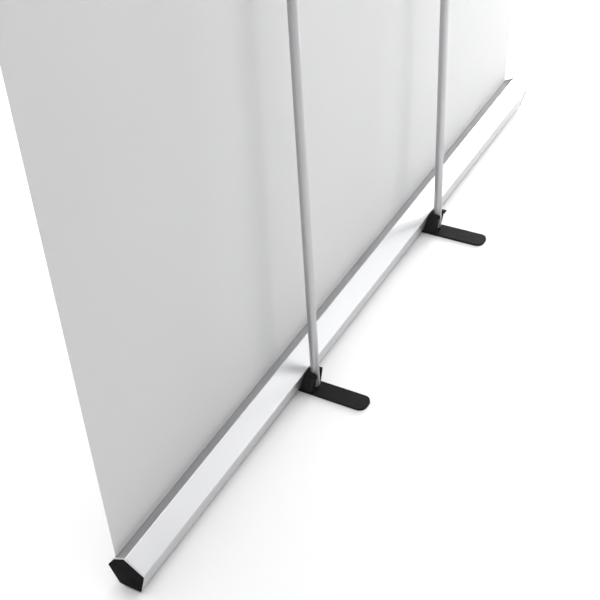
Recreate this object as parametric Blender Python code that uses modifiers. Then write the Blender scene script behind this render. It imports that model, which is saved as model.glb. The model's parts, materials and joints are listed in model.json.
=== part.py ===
"""Wide double-pole roll-up banner stand: spring-roller case, telescopic poles and clamping top rail.

Metres, +Z up. X runs along the case, -Y is the printed front, +Y the back where the feet reach out.
Sizes are worked out from the floor under the middle of the roller. The whole stand is then moved
forwards, so that the world's origin is on the floor under the middle of its box.
"""

import math

import bmesh
import bpy
from mathutils import Matrix, Vector

# Overall sizes
BANNER_WIDTH = 1.500
BANNER_HEIGHT = 2.000  # along the sheet, from the slit to the lower edge of the top rail
POLE_SPREAD = 0.506  # between the two pole axes
POLE_LEAN = math.radians(3.8)  # the poles lean backwards, away from the printed side

# Clearances
GAP = 0.0003  # between pieces that touch
RUN_GAP = 0.00015  # round a shaft that turns or slides
SHEET_SIDE_GAP = 0.0010  # from the banner's side edge to the end cap
OVERLAP = 0.001  # how far a cutter runs past a face, and a joined piece into its neighbour

# Banner
SHEET_T = 0.0004
SHEET_IN_SLIT = 0.003  # the sheet's lower edge, below the slit
LEADER_WRAPS_T = 0.0015  # leader film that stays on the roller
LEADER_INSET = 0.004

# Case section, with heights above the case's own base
CASE_TOP = 0.0712
CASE_TOP_Y = 0.004
CASE_REAR_Y = 0.0358
CASE_REAR_H = 0.0454
CASE_FRONT_Y = -0.0335
CASE_FRONT_H = 0.0390
CASE_BASE_FRONT_Y = -0.021
CASE_BASE_REAR_Y = 0.020
SLIT_CORNER_Y = -0.017
SLIT_CORNER_H = 0.0607
SLIT_FRONT_LIP = 0.0033  # each lip stops this far short of the corner
SLIT_REAR_LIP = 0.0020
SLIT_SHEET_BACK = 0.0006  # where the sheet passes the slit, from the corner
SLIT_SHEET_DROP = 0.0007
CASE_WALL = 0.0018
CASE_RIDGE_R = 0.0025
CASE_BASE_R = 0.0050

# End caps
CAP_T = 0.003
CAP_PROUD = 0.0005
CAP_SPIGOT_T = 0.002
CAP_SPIGOT_DEPTH = 0.010
CAP_SPIGOT_FRONT_TRIM = 0.0040  # the spigot stops this far from the front ridge and from the top
CAP_SPIGOT_TOP_TRIM = 0.0160
CAP_BOSS_WALL = 0.0027
CAP_BOSS_H = 0.0030
AXLE_SEAT_DEPTH = 0.0048
CAP_POST_W = 0.009
CAP_POST_H = 0.0065
CAP_POST_INSET = 0.0004
CAP_PILOT_DEPTH = 0.0055
CAP_SCREW_R = 0.0014
CAP_SCREW_HEAD_R = 0.0028
CAP_SCREW_HEAD_H = 0.0015
CAP_SCREW_REACH = 0.0045  # above the wall it goes through
CAP_SCREW_Y = (-0.010, 0.010)

# Roller
ROLLER_H = 0.0335  # axis above the case's base
ROLLER_R = 0.016
ROLLER_WALL = 0.001
PLUG_RECESS = 0.0055
PLUG_L = 0.016
AXLE_R = 0.004
IDLE_AXLE_REACH = 0.020
SPRING_AXLE_REACH = 0.360
AXLE_PAST_BUSH = 0.005
SPRING_CLEAR = 0.0041  # from the coils to the roller's bore
SPRING_WIRE_R = 0.0009
SPRING_TURNS = 20
ANCHOR_LIP = 0.0015  # past the coils' middle
ANCHOR_L = 0.012
BUSH_L = 0.010

# Feet
FOOT_W = 0.035
FOOT_PLATE_T = 0.0044
FOOT_TIP_R = 0.014
FOOT_REACH_BACK = 0.106  # from the pole's foot point to the tip
FOOT_PAST_FRONT = 0.009  # in front of the case's base
FOOT_FRONT_R = 0.004
FOOT_BLOCK_INSET = 0.0004  # each side of the socket block, from the plate's edge
FOOT_BLOCK_SIDE_H = 0.0405  # straight side of the socket block
FOOT_BLOCK_CROWN_H = 0.0480
FOOT_BLOCK_TOP_BACK = 0.0130  # rear edge behind the pole's foot, at the top and at the plate
FOOT_BLOCK_LOW_BACK = 0.0035
FOOT_SEAT_H = 0.009  # where the pole stands, along its axis from the floor
FOOT_SCREW_R = 0.0025
FOOT_SCREW_HEAD_LIP = 0.0023
FOOT_SCREW_HEAD_H = 0.0022
FOOT_SCREW_Y = 0.004
FOOT_NUT_W = 0.016
FOOT_NUT_T = 0.003
FOOT_NUT_CORNER_R = 0.002
PAD_R = 0.0075
PAD_PROUD = 0.0006
PAD_DEPTH = 0.0012  # of the pocket that holds it
PAD_END_INSET = 0.012

# Poles, with stations along the axis from the floor
POLE_BEHIND_CASE = 0.0002  # the tube's front at the floor, from the case's rear ridge
POLE_R = 0.008
POLE_WALL = 0.0013
POLE_PLUG_T = 0.004
POLE_PLUG_SPIGOT = 0.014
LOWER_TOP = 1.010
TELESCOPE_OVERLAP = 0.120
TELESCOPE_CLEAR = 0.0004
UPPER_WALL = 0.001
GLIDE_HEAD = 0.006
GLIDE_SPIGOT = 0.012
SLEEVE_WALL = 0.0017
SLEEVE_BELOW = 0.026
SLEEVE_SHOULDER = 0.002  # shoulder above the rim of the lower tube
SLEEVE_NOSE_WALL = 0.00255
SLEEVE_NOSE_L = 0.010
NUT_PROUD = 0.0012
NUT_FLUTE = 0.0005
NUT_FLUTES = 14
NUT_L = 0.023

# Top rail section: d is measured back from the sheet, h up from the rail's lower edge
RAIL_EDGE_R = 0.0005
RAIL_TOP_R = 0.0012
RAIL_H = 0.034
RAIL_WEB_T = 0.003
RAIL_FLANGE_T = 0.0025
RAIL_LIP_T = 0.002
RAIL_LIP_L = 0.0075
RAIL_GROOVE_W = 0.007
BEAD_R = 0.002
BEAD_NECK_CLEAR = 0.00085  # from the clamp's ears to the web, and below the rail's top
BEAD_TOP_CLEAR = 0.00115
NECK_T = 0.0016
CLAMP_WALL = 0.0015
CLAMP_JAW_H = 0.003
CLAMP_JAW_SLOPE = 0.0015
CLAMP_EAR_FROM = 105  # degrees round the bead from straight back: the ear above and the ear below
CLAMP_EAR_TO = 290
CLAMP_NECK = 235
RAIL_CAP_T = 0.0025
RAIL_CAP_PROUD = 0.0008
RAIL_CAP_PEG = 0.008
RAIL_CAP_R = 0.0015
RAIL_CAP_FRONT_R = 0.0035
RAIL_CAP_STEP = 0.004
HEM_BELOW_BEAD = 0.005

# Pole hooks
HOOK_PLAY = 0.0017  # beside the nose in the groove
HOOK_ARM_T = 0.005
HOOK_W = 0.012
HOOK_LIP_CLEARANCE = 0.002
HOOK_WALL = 0.00155
HOOK_CAP_ABOVE = 0.007  # cap above and below the arm's top
HOOK_CAP_BELOW = 0.017
HOOK_SKIN = 0.0024
HOOK_BEHIND_LIP = 0.0015
HOOK_ARM_R = 0.0010

SIDES = {"left": -1, "right": 1}
BEVEL = 0.0008  # on the edges of turned pieces
ROUND = 28  # sides of a round piece, and of a small one
SMALL_ROUND = 18
WELD = 0.000003

# Values that follow
FOOT_TOP = PAD_PROUD + FOOT_PLATE_T
CASE_BASE = FOOT_TOP + GAP
ROLLER_Z = CASE_BASE + ROLLER_H
CASE_HALF = BANNER_WIDTH / 2 + SHEET_SIDE_GAP
CAP_BOSS_R = AXLE_R + GAP + CAP_BOSS_WALL
TUBE_HALF = BANNER_WIDTH / 2 - GAP
SPRING_R = ROLLER_R - ROLLER_WALL - SPRING_CLEAR - SPRING_WIRE_R
ANCHOR_R = SPRING_R + ANCHOR_LIP
FOOT_FRONT_Y = CASE_BASE_FRONT_Y - FOOT_PAST_FRONT
FOOT_SCREW_HEAD_R = FOOT_SCREW_R + FOOT_SCREW_HEAD_LIP
POLE_X = POLE_SPREAD / 2
POLE_FOOT_Y = CASE_REAR_Y + POLE_BEHIND_CASE + POLE_R
UPPER_R = POLE_R - POLE_WALL - TELESCOPE_CLEAR
SLEEVE_R = POLE_R + GAP + SLEEVE_WALL
SLEEVE_NOSE_R = UPPER_R + RUN_GAP + SLEEVE_NOSE_WALL
NUT_R = SLEEVE_R + NUT_PROUD
HOOK_CAP_R = UPPER_R + RUN_GAP + HOOK_WALL
WEB_D = SHEET_T / 2 + GAP
LIP_D = WEB_D + RAIL_WEB_T + RAIL_GROOVE_W
BEAD_OUTER = BEAD_R + RUN_GAP + CLAMP_WALL  # outer radius of the clamp's ears
BEAD_D = WEB_D - BEAD_NECK_CLEAR - BEAD_OUTER
BEAD_H = RAIL_H - BEAD_TOP_CLEAR - BEAD_OUTER
POLE_BEHIND_SHEET = LIP_D + RAIL_LIP_T + HOOK_BEHIND_LIP + HOOK_CAP_R
RAIL_CEILING = RAIL_H - RAIL_FLANGE_T
HOOK_ARM_TOP = RAIL_CEILING - RAIL_LIP_L - HOOK_LIP_CLEARANCE
SHEET_FOOT = Vector(
    (0, SLIT_CORNER_Y + SLIT_SHEET_BACK, CASE_BASE + SLIT_CORNER_H - SLIT_SHEET_DROP)
)


def sheet_lean():
    """The lean that brings the hooks, set back from the sheet, onto the leaning poles."""
    reach = BANNER_HEIGHT + HOOK_ARM_TOP
    across = (POLE_FOOT_Y - SHEET_FOOT.y) * math.cos(POLE_LEAN) + SHEET_FOOT.z * math.sin(POLE_LEAN)
    hook_angle = math.atan2(POLE_BEHIND_SHEET, reach)
    return POLE_LEAN + math.asin(across / math.hypot(reach, POLE_BEHIND_SHEET)) - hook_angle


SHEET_LEAN = sheet_lean()
SHEET_UP = Vector((0, math.sin(SHEET_LEAN), math.cos(SHEET_LEAN)))
SHEET_BACK = Vector((0, math.cos(SHEET_LEAN), -math.sin(SHEET_LEAN)))
POLE_UP = Vector((0, math.sin(POLE_LEAN), math.cos(POLE_LEAN)))
RAIL_FOOT = SHEET_FOOT + BANNER_HEIGHT * SHEET_UP
HOOK_POINT = RAIL_FOOT + HOOK_ARM_TOP * SHEET_UP + POLE_BEHIND_SHEET * SHEET_BACK
HOOK_STATION = (HOOK_POINT - Vector((0, POLE_FOOT_Y, 0))).dot(POLE_UP)
UPPER_TOP = HOOK_STATION + HOOK_CAP_ABOVE - HOOK_SKIN - GAP
LOWER_BOTTOM = FOOT_SEAT_H + GAP + POLE_PLUG_T + GAP
SLEEVE_TOP = LOWER_TOP + SLEEVE_SHOULDER
NOSE_TOP = SLEEVE_TOP + SLEEVE_NOSE_L


def clear_scene():
    for obj in list(bpy.data.objects):
        bpy.data.objects.remove(obj, do_unlink=True)


def collection(name):
    made = bpy.data.collections.new(name)
    bpy.context.scene.collection.children.link(made)
    return made


def material(name, colour, roughness, metallic=0.0):
    made = bpy.data.materials.new(name)
    made.use_nodes = True
    made.diffuse_color = (*colour, 1)
    shader = made.node_tree.nodes["Principled BSDF"]
    shader.inputs["Base Color"].default_value = (*colour, 1)
    shader.inputs["Roughness"].default_value = roughness
    shader.inputs["Metallic"].default_value = metallic
    return made


clear_scene()
PARTS = collection("roll_up_banner_stand")
CUTTERS = collection("cutters")
CUTTERS.hide_render = True

ALUMINIUM = material("satin_aluminium", (0.72, 0.73, 0.74), 0.35, 1.0)
BLACK = material("black_plastic", (0.02, 0.02, 0.022), 0.45)
GREY = material("grey_plastic", (0.35, 0.36, 0.37), 0.5)
STEEL = material("zinc_steel", (0.62, 0.62, 0.60), 0.35, 1.0)
RUBBER = material("black_rubber", (0.015, 0.015, 0.015), 0.8)
PRINT = material("banner_film", (0.86, 0.87, 0.88), 0.55)
LEADER = material("leader_film", (0.75, 0.76, 0.74), 0.4)


def link(obj, finish=None, group=PARTS):
    group.objects.link(obj)
    if finish:
        obj.data.materials.append(finish)
    if group is CUTTERS:
        obj.hide_render = True
        obj.display_type = "WIRE"
    return obj


def round_shading(obj):
    obj.data.shade_smooth()
    obj.data.set_sharp_from_angle(angle=math.radians(35))
    return obj


def boolean(obj, other, operation="DIFFERENCE"):
    """Applies a Boolean with another object, which is then removed."""
    modifier = obj.modifiers.new(operation.lower(), "BOOLEAN")
    modifier.operation = operation
    modifier.object = other
    bpy.context.view_layer.update()
    graph = bpy.context.evaluated_depsgraph_get()
    mesh = bpy.data.meshes.new_from_object(obj.evaluated_get(graph))
    weld(mesh)
    obj.modifiers.clear()
    obj.data = mesh
    bpy.data.objects.remove(other, do_unlink=True)
    return obj


def weld(mesh):
    bm = bmesh.new()
    bm.from_mesh(mesh)
    bmesh.ops.remove_doubles(bm, verts=bm.verts, dist=WELD)
    bmesh.ops.dissolve_degenerate(bm, edges=bm.edges, dist=WELD)
    bmesh.ops.recalc_face_normals(bm, faces=bm.faces)
    bm.to_mesh(mesh)
    bm.free()


def fillet(corners, steps=4):
    """A closed outline with each (u, v, radius) corner rounded by an arc."""
    outline = []
    for i, (u, v, radius) in enumerate(corners):
        corner = Vector((u, v))
        back = (Vector(corners[i - 1][:2]) - corner).normalized()
        ahead = (Vector(corners[(i + 1) % len(corners)][:2]) - corner).normalized()
        if radius <= 0:
            outline.append(corner)
            continue
        half = back.angle(ahead) / 2
        centre = corner + (back + ahead).normalized() * (radius / math.sin(half))
        first = (corner + back * (radius / math.tan(half)) - centre).normalized()
        last = (corner + ahead * (radius / math.tan(half)) - centre).normalized()
        for step in range(steps + 1):
            outline.append(centre + radius * first.slerp(last, step / steps))
    return outline


def offset_chain(points, distance):
    """An open chain of points moved sideways, to the left of its direction, with mitred corners."""
    moved = []
    for i, point in enumerate(points):
        before = (points[i] - points[i - 1]).normalized() if i else None
        after = (points[i + 1] - points[i]).normalized() if i < len(points) - 1 else None
        sides = [Vector((-way.y, way.x)) for way in (before, after) if way is not None]
        normal = sum(sides, Vector((0, 0))).normalized()
        moved.append(point + normal * (distance / normal.dot(sides[0])))
    return moved


def plate(name, outline, thickness, place, finish, group):
    """A flat outline made a solid, half its thickness to each side of a placing matrix's plane."""
    curve = bpy.data.curves.new(name, "CURVE")
    curve.dimensions = "2D"
    curve.fill_mode = "BOTH"
    curve.extrude = thickness / 2
    spline = curve.splines.new("POLY")
    spline.points.add(len(outline) - 1)
    for point, (u, v) in zip(spline.points, outline):
        point.co = (u, v, 0, 1)
    spline.use_cyclic_u = True
    guide = bpy.data.objects.new(name + "_outline", curve)
    guide.matrix_world = place
    return as_mesh(name, guide, finish, group)


def prism(name, outline, x_from, x_to, finish=None, group=PARTS):
    """An outline in (y, z) made a solid between two places along X."""
    y_z_x = Matrix(((0, 0, 1, 0), (1, 0, 0, 0), (0, 1, 0, 0), (0, 0, 0, 1)))
    place = Matrix.Translation(((x_from + x_to) / 2, 0, 0)) @ y_z_x
    return plate(name, outline, abs(x_to - x_from), place, finish, group)


def slab(name, outline, z_from, z_to, finish=None, group=PARTS):
    """An outline in (x, y) made a solid between two heights."""
    place = Matrix.Translation((0, 0, (z_from + z_to) / 2))
    return plate(name, outline, z_to - z_from, place, finish, group)


def as_mesh(name, guide, finish, group):
    """The curve object made a welded mesh object in its place."""
    bpy.context.scene.collection.objects.link(guide)
    bpy.context.view_layer.update()
    graph = bpy.context.evaluated_depsgraph_get()
    mesh = bpy.data.meshes.new_from_object(guide.evaluated_get(graph))
    weld(mesh)
    mesh.name = name
    obj = bpy.data.objects.new(name, mesh)
    obj.matrix_world = guide.matrix_world.copy()
    bpy.data.objects.remove(guide, do_unlink=True)
    return link(obj, finish, group)


def box(name, low, high, finish=None, group=PARTS):
    mesh = bpy.data.meshes.new(name)
    bm = bmesh.new()
    size = Vector(high) - Vector(low)
    middle = Matrix.Translation((Vector(high) + Vector(low)) / 2)
    bmesh.ops.create_cube(bm, size=1, matrix=middle @ Matrix.Diagonal((*size, 1)))
    bm.to_mesh(mesh)
    bm.free()
    return link(bpy.data.objects.new(name, mesh), finish, group)


def turned(name, profile, place, finish=None, group=PARTS, sides=ROUND, closed=False):
    """A profile of (radius, height), down its outer side, turned about a placing matrix's Z."""
    mesh = bpy.data.meshes.new(name)
    bm = bmesh.new()
    verts = [bm.verts.new((radius, 0, height)) for radius, height in profile]
    ends = zip(verts, verts[1:] + verts[:1]) if closed else zip(verts, verts[1:])
    for a, b in ends:
        bm.edges.new((a, b))
    bm.to_mesh(mesh)
    bm.free()
    obj = link(bpy.data.objects.new(name, mesh), finish, group)
    screw = obj.modifiers.new("turn", "SCREW")
    screw.steps = sides
    screw.render_steps = sides
    screw.use_merge_vertices = True
    screw.merge_threshold = 0.00001
    screw.use_smooth_shade = False
    obj.matrix_world = place
    bpy.context.view_layer.update()
    graph = bpy.context.evaluated_depsgraph_get()
    obj.data = bpy.data.meshes.new_from_object(obj.evaluated_get(graph))
    obj.modifiers.clear()
    return round_shading(obj)


def disc(name, radius, low, high, place, finish=None, group=PARTS, sides=ROUND):
    profile = [(0, high), (radius, high), (radius, low), (0, low)]
    return turned(name, profile, place, finish, group, sides)


def drill(obj, radius, low, high, place):
    """Cuts a round hole between two heights along the placing matrix's Z."""
    return boolean(obj, disc("drill", radius, low, high, place, group=CUTTERS))


def ring(name, outer, inner, low, high, place, finish=None, group=PARTS, sides=ROUND):
    profile = [(outer, high), (outer, low), (inner, low), (inner, high)]
    return turned(name, profile, place, finish, group, sides, closed=True)


def along_x(side=1):
    """Local Z along X, outwards on the given side, on the roller's axis."""
    return Matrix.Translation((0, 0, ROLLER_Z)) @ Matrix.Rotation(side * math.pi / 2, 4, "Y")


def along_pole(x):
    return Matrix.Translation((x, POLE_FOOT_Y, 0)) @ Matrix.Rotation(-POLE_LEAN, 4, "X")


def in_rail(d, h):
    """A point of the top rail's section in world (y, z)."""
    point = RAIL_FOOT + d * SHEET_BACK + h * SHEET_UP
    return (point.y, point.z)


def set_origin(obj, point):
    """Moves an object's origin without moving its shape."""
    to = Matrix.Translation(point)
    obj.data.transform(to.inverted() @ obj.matrix_world)
    obj.matrix_world = to


# Case -------------------------------------------------------------------------------------------

CASE_CHAIN = [
    Vector((SLIT_CORNER_Y, CASE_BASE + SLIT_CORNER_H)),
    Vector((CASE_FRONT_Y, CASE_BASE + CASE_FRONT_H)),
    Vector((CASE_BASE_FRONT_Y, CASE_BASE)),
    Vector((CASE_BASE_REAR_Y, CASE_BASE)),
    Vector((CASE_REAR_Y, CASE_BASE + CASE_REAR_H)),
    Vector((CASE_TOP_Y, CASE_BASE + CASE_TOP)),
    Vector((SLIT_CORNER_Y, CASE_BASE + SLIT_CORNER_H)),
]
CASE_RADII = [0, CASE_RIDGE_R, CASE_BASE_R, CASE_BASE_R, CASE_RIDGE_R, CASE_RIDGE_R, 0]


def open_shell(chain, radii, wall):
    """The outline of a bent wall: out along the chain, and back along its inner side."""
    inner = offset_chain(chain, wall)
    out = [(*point, radius) for point, radius in zip(chain, radii)]
    back = [(*point, max(radius - wall, 0)) for point, radius in zip(inner, radii)]
    return fillet(out + back[::-1])


def case_extrusion():
    front_way = (CASE_CHAIN[1] - CASE_CHAIN[0]).normalized()
    rear_way = (CASE_CHAIN[5] - CASE_CHAIN[6]).normalized()
    chain = list(CASE_CHAIN)
    chain[0] = chain[0] + front_way * SLIT_FRONT_LIP
    chain[6] = chain[6] + rear_way * SLIT_REAR_LIP
    half = CASE_HALF - GAP
    case = prism("case_extrusion", open_shell(chain, CASE_RADII, CASE_WALL), -half, half, ALUMINIUM)
    for side in SIDES.values():
        for y in CAP_SCREW_Y:
            place = Matrix.Translation((side * cap_screw_x(), y, CASE_BASE))
            drill(case, CAP_SCREW_R + GAP, -OVERLAP, CASE_WALL + OVERLAP, place)
    for side in SIDES.values():
        place = Matrix.Translation((side * POLE_X, FOOT_SCREW_Y, CASE_BASE))
        drill(case, FOOT_SCREW_R + GAP, -OVERLAP, CASE_WALL + OVERLAP, place)
    return round_shading(case)


def cap_screw_x():
    return CASE_HALF - CAP_SPIGOT_DEPTH / 2


def end_cap(side_name):
    side = SIDES[side_name]
    inner_face = side * CASE_HALF
    outer_face = side * (CASE_HALF + CAP_T)
    closed = CASE_CHAIN[:-1]
    ways = [closed[-1]] + closed + [closed[0]]
    proud = offset_chain(ways, -CAP_PROUD)[1:-1]
    radii = [CASE_RIDGE_R] + CASE_RADII[1:-1]
    outline = fillet([(*point, radius) for point, radius in zip(proud, radii)])
    cap = prism(f"end_cap_{side_name}", outline, inner_face, outer_face, BLACK)

    middle_x = side * (CASE_HALF + CAP_T / 2)
    inner_x = side * (CASE_HALF - CAP_SPIGOT_DEPTH)
    spigot = prism("spigot", cap_spigot_outline(), inner_x, middle_x, group=CUTTERS)
    boolean(cap, spigot, "UNION")
    floor = CASE_BASE + CASE_WALL + GAP
    for y in CAP_SCREW_Y:
        post_x = inner_x + side * CAP_POST_INSET
        low = (min(post_x, middle_x), y - CAP_POST_W / 2, floor + CAP_POST_INSET)
        high = (max(post_x, middle_x), y + CAP_POST_W / 2, floor + CAP_POST_H)
        boolean(cap, box("post", low, high, group=CUTTERS), "UNION")
    boss_face = CASE_HALF - CAP_BOSS_H
    boss = disc("boss", CAP_BOSS_R, boss_face, CASE_HALF + CAP_T / 2, along_x(side), group=CUTTERS)
    boolean(cap, boss, "UNION")
    drill(cap, AXLE_R + GAP, boss_face - OVERLAP, boss_face + AXLE_SEAT_DEPTH, along_x(side))
    for y in CAP_SCREW_Y:
        place = Matrix.Translation((side * cap_screw_x(), y, floor))
        drill(cap, CAP_SCREW_R + GAP, -OVERLAP, CAP_PILOT_DEPTH, place)
    return round_shading(cap)


def cap_spigot_outline():
    """The rim that goes inside the case: round its base and up both sides, clear of the slit."""
    chain = offset_chain(CASE_CHAIN, CASE_WALL + GAP)[1:6]
    start = chain[0] + (chain[1] - chain[0]).normalized() * CAP_SPIGOT_FRONT_TRIM
    end = chain[4] + (chain[3] - chain[4]).normalized() * CAP_SPIGOT_TOP_TRIM
    base_r = CASE_BASE_R - CASE_WALL - GAP
    return open_shell([start, *chain[1:4], end], [0, base_r, base_r, 0, 0], CAP_SPIGOT_T)


def cap_screw(side_name, index, y):
    """A pan-head screw up through the case's base into the end cap."""
    place = Matrix.Translation((SIDES[side_name] * cap_screw_x(), y, CASE_BASE - GAP))
    top = CASE_WALL + CAP_SCREW_REACH
    profile = [
        (0, top),
        (CAP_SCREW_R - BEVEL, top),
        (CAP_SCREW_R, top - BEVEL),
        (CAP_SCREW_R, 0),
        (CAP_SCREW_HEAD_R, 0),
        (CAP_SCREW_HEAD_R, BEVEL - CAP_SCREW_HEAD_H),
        (CAP_SCREW_HEAD_R - BEVEL, -CAP_SCREW_HEAD_H),
        (0, -CAP_SCREW_HEAD_H),
    ]
    return turned(f"end_cap_screw_{side_name}_{index}", profile, place, STEEL, sides=SMALL_ROUND)


# Roller -----------------------------------------------------------------------------------------

def roller():
    inner = ROLLER_R - ROLLER_WALL
    ring("roller_tube", ROLLER_R, inner, -TUBE_HALF, TUBE_HALF, along_x(), ALUMINIUM)
    wraps_half = BANNER_WIDTH / 2 - LEADER_INSET
    wraps_inner = ROLLER_R + GAP
    wraps_outer = wraps_inner + LEADER_WRAPS_T
    ring("leader_wraps", wraps_outer, wraps_inner, -wraps_half, wraps_half, along_x(), LEADER)
    plug_top = TUBE_HALF - PLUG_RECESS
    for name, side in (("roller_plug_spring_end", -1), ("roller_plug_idle_end", 1)):
        plug_low = plug_top - PLUG_L
        ring(name, inner - RUN_GAP, AXLE_R + RUN_GAP, plug_low, plug_top, along_x(side), GREY)
    bush_top = bush_low() + BUSH_L
    ring("axle_bush", inner - RUN_GAP, AXLE_R + RUN_GAP, bush_low(), bush_top, along_x(-1), GREY)


def bush_low():
    """The bush's inner end, outwards from the middle of the roller."""
    return CASE_HALF - SPRING_AXLE_REACH + AXLE_PAST_BUSH


def anchor_low():
    return bush_low() + BUSH_L + 2 * GAP


def axle(name, side, reach):
    outer = CASE_HALF - CAP_BOSS_H + AXLE_SEAT_DEPTH - GAP
    return disc(name, AXLE_R, CASE_HALF - reach, outer, along_x(side), STEEL)


def spring_anchor():
    """A collar on the axle that holds the fixed end of the spring, clear of the turning bush."""
    low = anchor_low()
    return ring("spring_anchor", ANCHOR_R, AXLE_R + RUN_GAP, low, low + ANCHOR_L, along_x(-1), GREY)


def torsion_spring():
    """The counter-balance spring, wound round the axle between the anchor and the turning plug."""
    low = anchor_low() + ANCHOR_L + GAP + SPRING_WIRE_R
    high = TUBE_HALF - PLUG_RECESS - PLUG_L - GAP - SPRING_WIRE_R
    per_turn = 10
    count = SPRING_TURNS * per_turn + 1
    curve = bpy.data.curves.new("torsion_spring", "CURVE")
    curve.dimensions = "3D"
    curve.bevel_depth = SPRING_WIRE_R
    curve.bevel_resolution = 2
    curve.use_fill_caps = True
    spline = curve.splines.new("POLY")
    spline.points.add(count - 1)
    for i, point in enumerate(spline.points):
        angle = 2 * math.pi * i / per_turn
        way = low + (high - low) * i / (count - 1)
        point.co = (SPRING_R * math.cos(angle), SPRING_R * math.sin(angle), way, 1)
    guide = bpy.data.objects.new("torsion_spring_guide", curve)
    guide.matrix_world = along_x(-1)
    return round_shading(as_mesh("torsion_spring", guide, STEEL, PARTS))


# Banner -----------------------------------------------------------------------------------------

def strip(name, foot, way, low, high, half_width, finish):
    """A flat sheet between two stations along a line in the (y, z) plane."""
    across = Vector((0, way.z, -way.y)) * SHEET_T / 2
    edge = [foot + way * low, foot + way * high]
    corners = [*(point + across for point in edge), *(point - across for point in edge[::-1])]
    outline = [(corner.y, corner.z) for corner in corners]
    return prism(name, outline, -half_width, half_width, finish)


def banner():
    top = BANNER_HEIGHT + BEAD_H - HEM_BELOW_BEAD
    strip("banner_sheet", SHEET_FOOT, SHEET_UP, -SHEET_IN_SLIT, top, BANNER_WIDTH / 2, PRINT)
    # The leader leaves the front of the wraps at a tangent and meets the sheet's lower edge.
    axis = Vector((0, 0, ROLLER_Z))
    end = SHEET_FOOT - SHEET_UP * (SHEET_IN_SLIT + GAP)
    radius = ROLLER_R + LEADER_WRAPS_T + 2 * GAP + SHEET_T / 2
    to_end = end - axis
    angle = math.atan2(to_end.z, to_end.y) + math.acos(radius / to_end.length)
    foot = axis + radius * Vector((0, math.cos(angle), math.sin(angle)))
    way = (end - foot).normalized()
    half = BANNER_WIDTH / 2 - LEADER_INSET
    strip("leader_run", foot, way, 0, (end - foot).length, half, LEADER)


# Feet -------------------------------------------------------------------------------------------

def foot_tip_y():
    return POLE_FOOT_Y + FOOT_REACH_BACK


def case_rear_face_y(z):
    """The case's lower rear face at a height, with the seating gap."""
    share = (z - CASE_BASE) / CASE_REAR_H
    return CASE_BASE_REAR_Y + (CASE_REAR_Y - CASE_BASE_REAR_Y) * share + 2 * GAP


def foot(side_name):
    """A plate under the case with a rounded tip, and a socket block for the pole behind the case."""
    x = SIDES[side_name] * POLE_X
    half = FOOT_W / 2
    corners = [
        (x + half, FOOT_FRONT_Y, FOOT_FRONT_R),
        (x + half, foot_tip_y(), FOOT_TIP_R),
        (x - half, foot_tip_y(), FOOT_TIP_R),
        (x - half, FOOT_FRONT_Y, FOOT_FRONT_R),
    ]
    foot_piece = slab(f"foot_{side_name}", fillet(corners, 8), PAD_PROUD, FOOT_TOP, BLACK)
    boolean(foot_piece, socket_block(x), "UNION")
    for y in pad_places():
        place = Matrix.Translation((x, y, 0))
        drill(foot_piece, PAD_R + GAP, -OVERLAP, PAD_PROUD + PAD_DEPTH, place)
    place = Matrix.Translation((x, FOOT_SCREW_Y, 0))
    drill(foot_piece, FOOT_SCREW_R + GAP, -OVERLAP, FOOT_TOP + OVERLAP, place)
    sunk = PAD_PROUD + FOOT_SCREW_HEAD_H + 2 * GAP
    drill(foot_piece, FOOT_SCREW_HEAD_R + GAP, -OVERLAP, sunk, place)
    return round_shading(foot_piece)


def socket_block(x):
    """An arched block that leans on the case and holds the pole in a bore open to the back."""
    half = FOOT_W / 2 - FOOT_BLOCK_INSET
    low = FOOT_TOP - OVERLAP
    rise = FOOT_BLOCK_CROWN_H - FOOT_BLOCK_SIDE_H
    angles = [math.pi * i / 12 for i in range(13)]
    arch = [(x + half * math.cos(a), FOOT_BLOCK_SIDE_H + rise * math.sin(a)) for a in angles]
    block = slab("block", [(x - half, low), (x + half, low), *arch], -POLE_FOOT_Y, POLE_FOOT_Y,
                 group=CUTTERS)
    to_y = Matrix.Translation((0, POLE_FOOT_Y, 0)) @ Matrix.Rotation(math.pi / 2, 4, "X")
    block.matrix_world = to_y @ block.matrix_world

    top = FOOT_BLOCK_CROWN_H + OVERLAP
    low_back = POLE_FOOT_Y + FOOT_BLOCK_LOW_BACK
    top_back = POLE_FOOT_Y + FOOT_BLOCK_TOP_BACK
    flank_outline = [
        (case_rear_face_y(CASE_BASE), low),
        (case_rear_face_y(CASE_BASE), CASE_BASE),
        (case_rear_face_y(top), top),
        (top_back, top),
        (top_back, FOOT_BLOCK_CROWN_H),
        (low_back, FOOT_TOP),
        (low_back, low),
    ]
    flank = prism("flank", flank_outline, x - half - OVERLAP, x + half + OVERLAP, group=CUTTERS)
    boolean(block, flank, "INTERSECT")

    # The seat under the pole's plug reaches out behind the block.
    place = along_pole(x)
    seat = disc("seat", POLE_R, -POLE_R, FOOT_SEAT_H + OVERLAP, place, group=CUTTERS)
    below = box("below", (x - half, 0, -FOOT_W), (x + half, foot_tip_y(), low), group=CUTTERS)
    boolean(seat, below)
    boolean(block, seat, "UNION")

    # The socket is round in front of the pole and open to the back, and leans with it.
    bore_r = POLE_R + GAP
    angles = [math.pi * i / 16 for i in range(17)]
    front = [(-bore_r * math.cos(a), -bore_r * math.sin(a)) for a in angles]
    outline = [(-bore_r, FOOT_W), *front, (bore_r, FOOT_W)]
    socket = slab("socket", outline, FOOT_SEAT_H, FOOT_BLOCK_CROWN_H + POLE_R, group=CUTTERS)
    socket.matrix_world = place @ socket.matrix_world
    return boolean(block, socket)


def pad_places():
    return (FOOT_FRONT_Y + PAD_END_INSET, foot_tip_y() - PAD_END_INSET)


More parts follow.
